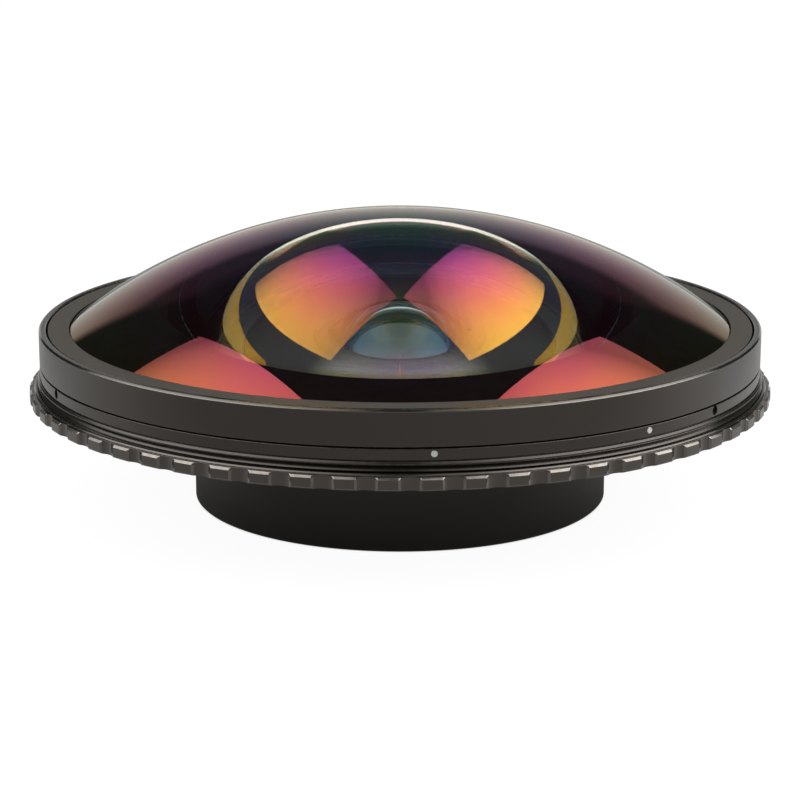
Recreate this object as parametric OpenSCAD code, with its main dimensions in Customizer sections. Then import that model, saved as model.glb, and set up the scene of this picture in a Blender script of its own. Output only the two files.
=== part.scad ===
// Ultra-wide fisheye converter lens, standing on its rear barrel.
// The origin is the centre of the barrel's foot, +Z runs along the optical axis towards the subject,
// and the front of the photographed view looks along +Y. All sizes are in millimetres.

/* [Front glass] */
// Diameter of the front element at its ground edge
glass_d = 128; // [116:0.5:140]
// Radius of the front dome
front_radius = 104.4; // [98:0.2:115]
// Thickness of the front element's edge
edge_t = 5.2; // [4:0.1:8]
// Drop of the blackened back from the seat to the concave rim
glass_depth = 0.95; // [0.5:0.05:2]
// Rim radius of the concave back
concave_rim_r = 39.4; // [34:0.1:44]
// Depth of the concave back from its rim to its pole
concave_depth = 22.9; // [18:0.1:24]
// Width of the flat land round the concave rim
foot_land = 1.6; // [0.8:0.1:3]

/* [Front barrel and body] */
// Width of the ledge that carries the front element
ledge_w = 5.2; // [4:0.1:8]
// Thickness of that ledge
ledge_t = 2.4; // [1.6:0.1:4]
// Thickness of the rubber seal under the front element
front_seal_t = 0.5; // [0.3:0.1:1]
// Wall between the front element and the front barrel's lower thread
front_cell_wall = 1.8; // [1.4:0.1:3]
// Wall of the body round that thread
body_wall = 1.86; // [1.4:0.02:3]
// Wall of the rim round the retaining ring
rim_wall = 1.36; // [1:0.02:1.8]
// Height of the body's wall below the seam
lower_wall_h = 1.95; // [1.8:0.05:5]
// Width of the seam groove between body and front barrel
seam_w = 0.25; // [0.15:0.05:0.6]
// Thickness of the body's plate under the front barrel
plate_t = 3.5; // [2.5:0.1:5]
// Radius where the plate's flat underside turns into the dish
plate_flat_r = 60; // [54:0.5:62]
// Depth of the dish from the front barrel's seat to the hub
dish_depth = 4.9; // [3:0.1:6]
// Height of the hub that holds the rear barrel
hub_h = 3.8; // [3.4:0.1:6]
// Width of that hub's wall
hub_w = 4.3; // [3:0.1:6]

/* [Retaining ring] */
// How far the ring's lip reaches over the glass
lip_overlap = 1.7; // [1:0.1:3]
// Thickness of the lip at its inner edge
lip_t = 0.32; // [0.2:0.02:0.8]
// Height of the rim above the ring
rim_proud = 0.2; // [0:0.05:0.6]
// Length of the ring's threaded skirt below the glass edge
skirt_len = 1.7; // [1:0.1:3]
// Width of the dark gap between ring and rim
ring_reveal = 0.35; // [0.2:0.05:0.6]

/* [Hood thread and lock ring] */
// Step from the wall out to the thread's crest
thread_step = 0.44; // [0.3:0.02:0.8]
// Length of the thread that the lock ring runs on
ring_thread_len = 1.85; // [1.4:0.05:4]
// Length of the thread left free for a hood
hood_thread_len = 1.8; // [1.2:0.05:4]
// Width of the run-out groove between the two threads
runout_w = 0.4; // [0.3:0.05:1]
// Depth of that groove below the crest
runout_depth = 0.7; // [0.4:0.05:1]
// Width of the undercut below the wall
undercut_w = 0.2; // [0.15:0.05:0.6]
// Height of the stop flange under the lock ring
stop_h = 0.5; // [0.4:0.05:1]
// Width of that flange beyond the thread
stop_w = 0.42; // [0.3:0.02:0.5]
// Wall of the lock ring from its thread to the tips of its lands
ring_wall = 1.52; // [1.4:0.02:3]
// Height of the lock ring
ring_h = 2.7; // [2.4:0.1:3.4]
// Height of the plain collar above the ring's lands
collar_h = 0.4; // [0.25:0.05:0.6]
// Width of that collar
collar_w = 0.6; // [0.4:0.05:0.65]
// Flutes round the lock ring
flute_count = 60; // [40:1:66]
// Depth of a flute
flute_depth = 0.75; // [0.4:0.05:0.8]
// Radius of the cutter that makes a flute
flute_r = 3; // [1.5:0.1:4]
// Angle of the first flute from the front of the lens
flute_turn = 1.4; // [0:0.1:6]

/* [Rear barrel] */
// Bore of the rear thread, at its crests
mount_bore_d = 71.2; // [70.2:0.1:74]
// Length of the rear thread
mount_thread_len = 4.2; // [3:0.1:6]
// Outer diameter of the lens cell
cell_d = 69.8; // [68:0.1:72]
// Wall of the barrel round the lens cell
barrel_wall = 2.6; // [2:0.1:4]
// Width of the shoulder that the body sits on
shoulder_w = 1.6; // [1.2:0.1:3]
// Width of the lip that stops the lens cell
lip_w = 2.4; // [1.6:0.1:3]
// Thickness of that lip
lip_h = 3; // [2:0.1:4]
// Height of the barrel's threaded spigot above the shoulder
spigot_h = 2.5; // [2.2:0.1:3]
// Thickness of the gasket between barrel and body
barrel_seal_t = 0.3; // [0.2:0.05:0.6]

/* [Lens cell] */
// Radial width of the seat for the ring that locks the cell
lock_seat_w = 5; // [3:0.1:7]
// Height of the cell's outer wall above that seat
cell_wall_h = 8.23; // [7:0.01:10]
// Height of the cell's front deck above its outer wall
deck_h = 2.1; // [1.5:0.1:3]
// Radius of the doublet's front surface
doublet_front_radius = 200; // [160:5:300]
// Radius of the doublet's cemented surface
cement_radius = 200; // [160:5:300]
// Edge thickness of the doublet's front glass
third_edge_t = 0.9; // [0.8:0.1:2]
// Centre thickness of the doublet's rear glass
fourth_centre_t = 1; // [0.8:0.1:2]
// Diameter of the second element
second_d = 30; // [26:0.5:32]
// Edge thickness of the second element
second_edge_t = 2.15; // [1.2:0.05:4]
// Width of the land round the second element's concave back
second_land = 4; // [3:0.1:6]
// Depth of the second element's concave back
second_depth = 8; // [5:0.1:9]
// Centre thickness of the second element
second_centre_t = 2.2; // [1:0.1:3]
// Wall of the cell's nose round the second element
nose_wall = 2.5; // [2:0.1:4]
// Width of the ring that holds the second element
second_ring_w = 0.9; // [0.8:0.1:2.4]
// Thickness of the ledge that the second element sits on
second_ledge_t = 0.9; // [0.8:0.1:2]
// Step from the second element's concave rim in to the opening of the aperture stop
stop_step = 0.6; // [0.2:0.1:5]
// Thickness of the aperture stop
stop_t = 0.4; // [0.3:0.05:0.8]
// Radial width of the spacer ring
spacer_w = 2; // [1.4:0.1:3]
// Step from the cell's nose out to the spacer's bore
spacer_step = 1; // [0.4:0.1:3]
// Height of the retaining rings
inner_ring_h = 1.5; // [1.2:0.1:2.4]
// Radial width of the rear retaining ring
rear_ring_w = 3; // [2:0.1:5]
// Wall of the cell's rear skirt
skirt_wall = 4.8; // [1.2:0.1:6]
// Thickness of the shim that sets the cell's height
shim_t = 0.3; // [0.1:0.05:0.6]

/* [Screws and marks] */
// Radius of the set screws in the body's wall
grub_r = 0.8; // [0.6:0.05:1]
// Depth of the set screws below the wall's surface
grub_recess = 0.4; // [0.2:0.05:0.6]
// Angle of the first set screw from the front of the lens
grub_turn = 54.5; // [0:0.5:120]
// Radius of the set screws in the hub
hub_screw_r = 0.9; // [0.7:0.05:1]
// Length of those screws
hub_screw_len = 4; // [3:0.1:5]
// Radius of the white index dots
dot_r = 0.6; // [0.4:0.05:0.8]
// Depth of the index dots
dot_depth = 0.4; // [0.2:0.05:0.6]

/* [Fits] */
// Radial clearance of a screwed or sliding fit
fit_gap = 0.1; // [0.05:0.01:0.15]
// Clearance between glass and metal
glass_gap = 0.05; // [0.03:0.01:0.1]
// Running clearance of the lock ring on its thread
run_gap = 0.08; // [0.05:0.01:0.1]
// Chamfer on outer edges
edge_chamfer = 0.4; // [0.2:0.05:0.6]

/* [Hidden] */
$fn = 240;
flute_facets = 60;

// How far a spherical surface falls from its pole to a given radius
function sag(surface_r, r) = surface_r - sqrt(surface_r * surface_r - r * r);

// Radius of a spherical bowl from its rim radius and its depth
function bowl_radius(rim_r, depth) = (rim_r * rim_r + depth * depth) / (2 * depth);

// Small sizes that every part shares
cut = 1;
slot_w = 1.6;
slot_depth = 0.8;
cement_gap = 0.02;
dimple_depth = 0.3;
ledge_relief = 0.5;
nose_lip = 0.5;
lock_inset = 0.2;
grub_share = 0.56;
hub_screw_share = 0.56;
socket_share = 0.45;
socket_width = 0.55;
dot_inset = 0.04;
screw_count = 3;
dot_angles = [4.8, 38.9];
front_angle = -90;

// Radii, from the rear optics outwards
cell_r = cell_d / 2;
cell_bore_r = cell_r + fit_gap;
spigot_r = cell_bore_r + barrel_wall;
barrel_r = spigot_r + shoulder_w;
mount_bore_r = mount_bore_d / 2;
lip_r = cell_r - lip_w;
skirt_r = cell_r - lock_seat_w;
doublet_bore_r = skirt_r - skirt_wall;
doublet_r = doublet_bore_r - fit_gap;
hub_bore_r = spigot_r + fit_gap;
hub_r = hub_bore_r + hub_w;
second_r = second_d / 2;
second_bore_r = second_r + fit_gap;
second_rim_r = second_r - second_land;
nose_r = second_bore_r + nose_wall;
spacer_bore_r = nose_r + spacer_step;
spacer_r = spacer_bore_r - fit_gap;
stop_r = second_rim_r - stop_step;
second_back_radius = bowl_radius(second_rim_r, second_depth);
second_front_radius = bowl_radius(second_r, second_depth + second_centre_t - second_edge_t);

// Radii, from the front glass outwards
glass_r = glass_d / 2;
glass_bore_r = glass_r + 2 * fit_gap;
concave_radius = bowl_radius(concave_rim_r, concave_depth);
ledge_r = glass_bore_r - ledge_w;
seat_in_r = ledge_r - ledge_relief;
foot_r = concave_rim_r + foot_land;
front_spigot_r = glass_bore_r + front_cell_wall;
body_bore_r = front_spigot_r + fit_gap;
wall_r = body_bore_r + body_wall;
ring_bore_r = wall_r - rim_wall;
lip_in_r = glass_r - lip_overlap;
thread_r = wall_r + thread_step;
groove_r = thread_r - runout_depth;
stop_flange_r = thread_r + stop_w;
lock_bore_r = thread_r + run_gap;
lock_tip_r = lock_bore_r + ring_wall;

// Heights of the rear stack, from the foot up
thread_top_z = mount_thread_len + edge_chamfer;
cell_bottom_z = thread_top_z;
rear_glass_z = cell_bottom_z + inner_ring_h + glass_gap;
cement_pole_z = rear_glass_z + fourth_centre_t;
fourth_edge_z = cement_pole_z + sag(cement_radius, doublet_r);
third_edge_z = fourth_edge_z + third_edge_t;
third_apex_z = third_edge_z + sag(doublet_front_radius, doublet_r);
stop_z = third_apex_z + fit_gap;
second_ledge_z = stop_z + stop_t;
second_z = second_ledge_z + second_ledge_t;
second_pole_z = second_z + second_depth;
second_apex_z = second_pole_z + second_centre_t;
second_edge_z = second_z + second_edge_t;
nose_top_z = second_edge_z + inner_ring_h;
lock_seat_z = cell_bottom_z + inner_ring_h - lock_inset;
cell_shoulder_z = lock_seat_z + cell_wall_h;
deck_z = cell_shoulder_z + deck_h;
shim_top_z = cell_shoulder_z + shim_t;
spigot_z = shim_top_z + lip_h;
shoulder_z = spigot_z - spigot_h;

// Heights of the front stack, carried by the rear barrel
hub_z = shoulder_z + barrel_seal_t;
hub_top_z = hub_z + hub_h;
floor_z = hub_top_z + dish_depth;
ledge_z = floor_z + ledge_t;
seat_z = ledge_z + front_seal_t;
foot_z = seat_z - glass_depth;
flange_z = floor_z - plate_t;
ring_thread_z = flange_z + stop_h;
runout_z = ring_thread_z + ring_thread_len;
hood_thread_z = runout_z + runout_w;
undercut_z = hood_thread_z + hood_thread_len;
wall_z = undercut_z + undercut_w;
seam_z = wall_z + lower_wall_h;
upper_z = seam_z + seam_w;
edge_z = seat_z + edge_t;
front_centre_z = edge_z - sqrt(front_radius * front_radius - glass_r * glass_r);
apex_z = front_centre_z + front_radius;
lip_z = front_centre_z + sqrt(front_radius * front_radius - lip_in_r * lip_in_r);
ring_top_z = lip_z + lip_t;
rim_z = ring_top_z + rim_proud;
skirt_z = edge_z - skirt_len;
step_z = skirt_z - 2 * fit_gap;
concave_centre_z = foot_z + concave_depth - concave_radius;
grub_z = wall_z + lower_wall_h * grub_share;
hub_screw_z = shoulder_z + spigot_h * hub_screw_share;

// Height of what rests on the doublet's front at a given radius
function doublet_front_z(r) = third_apex_z - sag(doublet_front_radius, r) + glass_gap;

// A flat ring from one radius to another
module ring(r_in, r_out, z0, h) {
    translate([0, 0, z0]) difference() {
        cylinder(r = r_out, h = h);
        translate([0, 0, -cut]) cylinder(r = r_in, h = h + 2 * cut);
    }
}

// Two spanner slots across a ring's face
module spanner_slots(r_in, r_out, z0) {
    for (side = [0, 180]) rotate(side)
        translate([r_in - cut, -slot_w / 2, z0]) cube([r_out - r_in + 2 * cut, slot_w, slot_depth + cut]);
}

// Puts its children on the wall at an angle from the front of the lens, with X pointing outwards
module at_angle(angle, z) {
    rotate(front_angle + angle) translate([0, 0, z]) children();
}

// A cylinder along X from one radius to another
module radial_pin(r, from_r, to_r) {
    translate([from_r, 0, 0]) rotate([0, 90, 0]) cylinder(r = r, h = to_r - from_r);
}

// A socket set screw along X, from its tip to its driven end
module set_screw(r, from_r, to_r) {
    socket_depth = (to_r - from_r) * socket_share;
    difference() {
        radial_pin(r, from_r, to_r);
        translate([to_r - socket_depth, 0, 0]) rotate([0, 90, 0])
            cylinder(r = r * socket_width, h = socket_depth + cut, $fn = 6);
    }
}

// Places one child at each of the evenly spaced set screws
module each_screw(first_angle, z) {
    for (i = [0 : screw_count - 1]) at_angle(first_angle + i * 360 / screw_count, z) children();
}

// The dome: a large meniscus with a flat seat, a blackened back and a deep concave hollow
module front_element() {
    color([0.24, 0.16, 0.2, 0.6]) difference() {
        intersection() {
            translate([0, 0, front_centre_z]) sphere(r = front_radius);
            rotate_extrude() polygon([
                [0, foot_z], [foot_r, foot_z], [seat_in_r, seat_z], [glass_r, seat_z],
                [glass_r, apex_z + cut], [0, apex_z + cut]]);
        }
        translate([0, 0, concave_centre_z]) sphere(r = concave_radius);
    }
}

// The flat ring that screws into the rim and clamps the dome, relieved to the dome's own radius
module front_retaining_ring() {
    skirt_r_out = ring_bore_r - fit_gap;
    top_r = ring_bore_r - ring_reveal;
    skirt_r_in = glass_r + 2 * fit_gap;
    color([0.2, 0.18, 0.16]) difference() {
        rotate_extrude() polygon([
            [lip_in_r, skirt_z + lip_t], [skirt_r_in, skirt_z], [skirt_r_out, skirt_z],
            [skirt_r_out, ring_top_z - 3 * edge_chamfer], [top_r, ring_top_z - 2 * edge_chamfer],
            [top_r, ring_top_z], [lip_in_r, ring_top_z]]);
        translate([0, 0, front_centre_z]) sphere(r = front_radius + glass_gap);
        translate([0, 0, skirt_z - cut]) cylinder(r = glass_r + 2 * fit_gap, h = edge_z - skirt_z + cut);
    }
}

// The rubber seal that the dome is pressed on
module front_seal() {
    color([0.05, 0.05, 0.05]) ring(ledge_r + 2 * fit_gap, glass_r - 2 * fit_gap, ledge_z, front_seal_t);
}

// The upper wall with its rim, the ledge for the dome and the spigot that screws into the body
module front_barrel() {
    rim_edge = edge_chamfer / 2;
    color([0.22, 0.2, 0.18]) difference() {
        rotate_extrude() polygon([
            [ledge_r, floor_z], [front_spigot_r, floor_z], [front_spigot_r, upper_z],
            [wall_r - rim_edge, upper_z], [wall_r, upper_z + rim_edge], [wall_r, rim_z - edge_chamfer],
            [wall_r - edge_chamfer, rim_z], [ring_bore_r + rim_edge, rim_z], [ring_bore_r, rim_z - rim_edge],
            [ring_bore_r, step_z], [glass_bore_r, step_z], [glass_bore_r, ledge_z], [ledge_r, ledge_z]]);
        each_screw(grub_turn, grub_z)
            radial_pin(grub_r + fit_gap, front_spigot_r - dimple_depth, front_spigot_r + cut);
    }
}

// The dish between the wide front and the narrow rear, with the lower wall and the hood thread on its rim
module main_body() {
    wall_edge = edge_chamfer / 2;
    thread_edge = edge_chamfer * 0.75;
    color([0.22, 0.2, 0.18]) difference() {
        rotate_extrude() polygon([
            [hub_bore_r, hub_z], [hub_r, hub_z], [plate_flat_r, flange_z],
            [stop_flange_r - wall_edge, flange_z],
            [stop_flange_r, flange_z + wall_edge], [stop_flange_r, ring_thread_z], [thread_r, ring_thread_z],
            [thread_r, runout_z], [groove_r, runout_z], [groove_r, hood_thread_z], [thread_r, hood_thread_z],
            [thread_r, undercut_z - thread_edge], [thread_r - thread_edge, undercut_z], [groove_r, undercut_z],
            [groove_r, wall_z], [wall_r, wall_z],
            [wall_r, seam_z - wall_edge], [wall_r - wall_edge, seam_z], [body_bore_r, seam_z],
            [body_bore_r, floor_z], [ledge_r, floor_z], [hub_r, hub_top_z], [hub_bore_r, hub_top_z]]);
        each_screw(grub_turn, grub_z) radial_pin(grub_r + fit_gap / 2, body_bore_r - cut, wall_r + cut);
        each_screw(0, hub_screw_z) radial_pin(hub_screw_r + fit_gap / 2, hub_bore_r - cut, plate_flat_r);
        for (angle = dot_angles) at_angle(angle, grub_z)
            radial_pin(dot_r + fit_gap / 2, wall_r - dot_depth, wall_r + cut);
    }
}

// The fluted ring that runs on the hood thread and jams a hood in place, with a plain collar above its lands
module lock_ring() {
    bottom_edge = edge_chamfer * 0.6;
    collar_edge = edge_chamfer / 2;
    collar_r = lock_bore_r + collar_w;
    top_z = flange_z + ring_h;
    land_z = top_z - collar_h;
    counterbore_r = stop_flange_r + run_gap;
    seat_z_ring = ring_thread_z + run_gap / 2;
    color([0.24, 0.22, 0.2]) difference() {
        rotate_extrude() polygon([
            [counterbore_r, flange_z], [lock_tip_r - bottom_edge, flange_z],
            [lock_tip_r, flange_z + bottom_edge],
            [lock_tip_r, land_z - edge_chamfer], [lock_tip_r - edge_chamfer, land_z], [collar_r, land_z],
            [collar_r, top_z - collar_edge], [collar_r - collar_edge, top_z],
            [lock_bore_r, top_z], [lock_bore_r, seat_z_ring], [counterbore_r, seat_z_ring]]);
        for (i = [0 : flute_count - 1]) at_angle(flute_turn + i * 360 / flute_count, flange_z - cut)
            translate([lock_tip_r - flute_depth + flute_r, 0, 0])
                cylinder(r = flute_r, h = ring_h + 2 * cut, $fn = flute_facets);
    }
}

// Three set screws that lock the front barrel in the body
module grub_screws() {
    color([0.3, 0.3, 0.3]) each_screw(grub_turn, grub_z)
        set_screw(grub_r, front_spigot_r - dimple_depth + fit_gap / 2, wall_r - grub_recess);
}

// White dots let into the wall, for lining a hood up
module index_dots() {
    color([0.9, 0.9, 0.88]) for (angle = dot_angles) at_angle(angle, grub_z)
        radial_pin(dot_r, wall_r - dot_depth, wall_r - dot_inset);
}

// The narrow black barrel, with a lip for the cell above and the thread for a camera adapter below
module rear_barrel() {
    color([0.1, 0.1, 0.1]) difference() {
        rotate_extrude() polygon([
            [mount_bore_r + edge_chamfer, 0], [barrel_r - edge_chamfer, 0], [barrel_r, edge_chamfer],
            [barrel_r, shoulder_z], [spigot_r, shoulder_z], [spigot_r, spigot_z], [lip_r, spigot_z],
            [lip_r, shim_top_z], [cell_bore_r, shim_top_z], [cell_bore_r, thread_top_z],
            [mount_bore_r, thread_top_z], [mount_bore_r, edge_chamfer]]);
        each_screw(0, hub_screw_z) radial_pin(hub_screw_r + fit_gap, spigot_r - dimple_depth, spigot_r + cut);
    }
}

// The thin gasket between the barrel's shoulder and the body's hub
module barrel_seal() {
    color([0.05, 0.05, 0.05]) ring(hub_bore_r + fit_gap, barrel_r - 2 * fit_gap, shoulder_z, barrel_seal_t);
}

// Three set screws through the hub that lock the rear barrel
module barrel_screws() {
    tip_r = spigot_r - dimple_depth + fit_gap / 2;
    color([0.3, 0.3, 0.3]) each_screw(0, hub_screw_z) set_screw(hub_screw_r, tip_r, tip_r + hub_screw_len);
}

// The turned cell that carries the inner glass, with a shallow deck under the dome's hollow
module lens_cell() {
    mid_r = lip_r - 2 * fit_gap;
    seat_r = second_rim_r + ledge_relief;
    deck_in_r = nose_r + nose_lip;
    color([0.08, 0.08, 0.09]) difference() {
        rotate_extrude() polygon([
            [skirt_r, cell_bottom_z], [skirt_r, lock_seat_z], [cell_r, lock_seat_z],
            [cell_r, cell_shoulder_z], [mid_r, cell_shoulder_z], [mid_r, deck_z],
            [deck_in_r, nose_top_z - nose_lip], [nose_r, nose_top_z], [second_bore_r, nose_top_z],
            [second_bore_r, second_z], [seat_r, second_z], [seat_r, second_ledge_z],
            [spacer_bore_r, second_ledge_z], [spacer_bore_r, third_edge_z],
            [doublet_bore_r, third_edge_z], [doublet_bore_r, cell_bottom_z]]);
        intersection() {
            translate([0, 0, cell_bottom_z]) cylinder(r = doublet_bore_r, h = third_apex_z - cell_bottom_z);
            translate([0, 0, third_apex_z - doublet_front_radius])
                sphere(r = doublet_front_radius + glass_gap);
        }
    }
}

// A smaller negative meniscus behind the dome
module second_element() {
    color([0.35, 0.4, 0.45, 0.6]) difference() {
        intersection() {
            translate([0, 0, second_z]) cylinder(r = second_r, h = second_apex_z - second_z + cut);
            translate([0, 0, second_apex_z - second_front_radius]) sphere(r = second_front_radius);
        }
        translate([0, 0, second_pole_z - second_back_radius]) sphere(r = second_back_radius);
    }
}

// The ring that holds the second element in the cell's nose
module second_retaining_ring() {
    ring_in_r = second_bore_r - second_ring_w;
    color([0.1, 0.1, 0.1]) difference() {
        ring(ring_in_r, second_bore_r - fit_gap, second_edge_z, inner_ring_h);
        translate([0, 0, second_apex_z - second_front_radius]) sphere(r = second_front_radius + glass_gap);
        spanner_slots(ring_in_r, second_bore_r, nose_top_z - slot_depth);
    }
}

// The thin black stop between the two glass groups
module aperture_stop() {
    color([0.05, 0.05, 0.05]) ring(stop_r, spacer_r, stop_z, stop_t);
}

// The spacer between the stop and the doublet, with a lower face that follows the doublet's front
module spacer_ring() {
    spacer_in_r = spacer_r - spacer_w;
    color([0.12, 0.12, 0.12]) rotate_extrude() polygon([
        [spacer_in_r, doublet_front_z(spacer_in_r)], [spacer_r, doublet_front_z(spacer_r)],
        [spacer_r, stop_z], [spacer_in_r, stop_z]]);
}

// The positive front glass of the doublet
module third_element() {
    color([0.4, 0.42, 0.5, 0.6]) intersection() {
        translate([0, 0, rear_glass_z]) cylinder(r = doublet_r, h = third_apex_z - rear_glass_z + cut);
        translate([0, 0, third_apex_z - doublet_front_radius]) sphere(r = doublet_front_radius);
        translate([0, 0, cement_pole_z + cement_radius]) sphere(r = cement_radius);
    }
}

// The negative rear glass of the doublet
module fourth_element() {
    color([0.42, 0.4, 0.35, 0.6]) difference() {
        translate([0, 0, rear_glass_z]) cylinder(r = doublet_r, h = fourth_edge_z - rear_glass_z);
        translate([0, 0, cement_pole_z + cement_radius]) sphere(r = cement_radius + cement_gap);
    }
}

// The ring that holds the doublet in the cell, with two spanner slots
module rear_retaining_ring() {
    color([0.1, 0.1, 0.1]) difference() {
        ring(doublet_r - rear_ring_w, doublet_r, cell_bottom_z, inner_ring_h);
        mirror([0, 0, 1]) spanner_slots(doublet_r - rear_ring_w, doublet_r, -cell_bottom_z - slot_depth);
    }
}

// The brass shim that sets the cell's height under the barrel's lip
module cell_shim() {
    color([0.72, 0.58, 0.3]) ring(lip_r + fit_gap, cell_r - fit_gap, cell_shoulder_z, shim_t);
}

// The ring that screws into the barrel behind the cell, with two spanner slots
module cell_lock_ring() {
    lock_ring_r = cell_r - fit_gap / 2;
    lock_ring_z = cell_bottom_z + fit_gap;
    color([0.12, 0.12, 0.12]) difference() {
        ring(skirt_r + fit_gap, lock_ring_r, lock_ring_z, lock_seat_z - lock_ring_z);
        mirror([0, 0, 1]) spanner_slots(skirt_r, lock_ring_r, -lock_ring_z - slot_depth);
    }
}

front_element();
front_retaining_ring();
front_seal();
front_barrel();
main_body();
lock_ring();
grub_screws();
index_dots();
rear_barrel();
barrel_seal();
barrel_screws();
lens_cell();
second_element();
second_retaining_ring();
aperture_stop();
spacer_ring();
third_element();
fourth_element();
rear_retaining_ring();
cell_shim();
cell_lock_ring();
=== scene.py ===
# %% [markdown]
# # A fisheye lens, standing on its rear barrel
# The imported solids are loaded first, as a fixed frame, and nothing here moves them. Sizes of the lens are in
# millimetres and become metres when a mesh is made. Light, table and room are in metres.

# %% Load the frame
import math

import bmesh
import bpy
from mathutils import Matrix, Vector


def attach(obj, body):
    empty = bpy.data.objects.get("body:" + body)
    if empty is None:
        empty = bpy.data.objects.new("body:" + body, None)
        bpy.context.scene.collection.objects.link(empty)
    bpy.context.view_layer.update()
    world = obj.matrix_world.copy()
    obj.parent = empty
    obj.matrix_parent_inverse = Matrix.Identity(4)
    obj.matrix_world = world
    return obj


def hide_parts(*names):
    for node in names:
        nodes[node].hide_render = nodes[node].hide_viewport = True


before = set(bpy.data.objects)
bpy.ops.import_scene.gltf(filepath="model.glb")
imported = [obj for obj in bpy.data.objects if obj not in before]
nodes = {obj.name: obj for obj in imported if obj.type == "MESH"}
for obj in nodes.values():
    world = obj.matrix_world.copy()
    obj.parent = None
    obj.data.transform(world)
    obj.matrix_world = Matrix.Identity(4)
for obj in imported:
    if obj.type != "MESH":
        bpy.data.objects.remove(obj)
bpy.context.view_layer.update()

MM = 0.001

# %% [markdown]
# ## Camera
# The camera was fitted to the rim, the fluted ring and the barrel's foot. It stands half a metre away and looks
# down by a little under 15 degrees, through a long lens, so the ellipses of the rings come out as flat as they are.

# %% Camera
CAMERA_PLACE, CAMERA_TILT = (0, -0.4811, 0.1427), 75.46
FOCAL_LENGTH, SENSOR_WIDTH = 117, 36

scene = bpy.context.scene
scene.view_settings.view_transform = "Standard"
camera_data = bpy.data.cameras.new("photo_camera")
camera_data.sensor_width = SENSOR_WIDTH
camera_data.lens = FOCAL_LENGTH
camera = bpy.data.objects.new("photo_camera", camera_data)
camera.location = CAMERA_PLACE
camera.rotation_euler = (math.radians(CAMERA_TILT), 0, 0)
scene.collection.objects.link(camera)
scene.camera = camera
print("camera at", [round(v, 3) for v in camera.location])

# %% [markdown]
# ## Nodes in code
# A material is a small graph. The first helper makes one node and joins its inputs: a socket becomes a link, and
# anything else becomes the input's own number or colour. The others are the few nodes that come up often.

# %% Node helpers
WHITE = (1, 1, 1)


def put(tree, kind, inputs=None, **settings):
    """Adds a node, sets its options, and fills or links its inputs. A kind without a family is a shader node."""
    node = tree.nodes.new(kind if "Node" in kind else "ShaderNode" + kind)
    for key, value in settings.items():
        setattr(node, key, value)
    for key, value in (inputs or {}).items():
        socket = node.inputs[key]
        if isinstance(value, bpy.types.NodeSocket):
            tree.links.new(value, socket)
        else:
            socket.default_value = (*value, 1) if socket.type == "RGBA" else value
    return node


def math_node(tree, operation, a, b=0.0, clamp=False):
    return put(tree, "Math", {0: a, 1: b}, operation=operation, use_clamp=clamp).outputs[0]


def times(tree, a, b):
    return math_node(tree, "MULTIPLY", a, b)


def span(tree, value, low, high, to_low=0.0, to_high=1.0, smooth=False):
    """Maps a value from one span to another and holds it there."""
    kind = "SMOOTHSTEP" if smooth else "LINEAR"
    return put(tree, "MapRange", {0: value, 1: low, 2: high, 3: to_low, 4: to_high},
               interpolation_type=kind).outputs[0]


def noise(tree, place, scale, detail):
    return put(tree, "TexNoise", {"Vector": place, "Scale": scale, "Detail": detail}).outputs[0]


def mix_colour(tree, factor, a, b):
    """Mixes two colours, each a socket or a plain colour, and gives the result as a socket."""
    mix = put(tree, "Mix", {"Factor": factor, "A": a, "B": b}, data_type="RGBA")
    return [socket for socket in mix.outputs if socket.type == "RGBA"][0]


def new_material(name):
    material = bpy.data.materials.new(name)
    material.use_nodes = True
    material.node_tree.nodes.clear()
    return material, material.node_tree


def dress(tree, shader):
    """Joins a finished shader to the material's output."""
    put(tree, "OutputMaterial", {"Surface": shader.outputs[0]})


def principled(tree, inputs):
    dress(tree, put(tree, "BsdfPrincipled", inputs))


# %% [markdown]
# ## Studio light
# Two large soft boxes, about 2 by 1.4 m, lean in from the left and the right and nearly touch overhead. Their
# corners were worked out from the coloured patches: each patch on the glass is a picture of one box, so following
# the light back through the dome gives the box's corners. The right box is the stronger one. The cloth is brightest
# where the bulb is, well below the box's middle, and falls off to a fifth far from it.

# %% Soft boxes
LENS_MIDDLE = Vector((0, 0, 0.045))
BOX_SCALE = 2.0
BOX_SIZE = (0.988 * BOX_SCALE, 0.686 * BOX_SCALE)
BOX_CENTRE = Vector((0.427, -0.007, 0.455))
BOX_ALONG, BOX_DOWN = Vector((-0.435, -0.899, 0.047)), Vector((0.549, -0.307, -0.778))
BOX_RADIANCE = {-1: 1.72, 1: 2.52}
HOT_SPOT = {-1: (0.04, 0.31), 1: (0.05, 0.49)}
SPOT_REACH, SPOT_TILT = (1.07, 1.59), -0.325
SPOT_STRENGTH, FAR_STRENGTH = 1.5, 0.3


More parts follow.
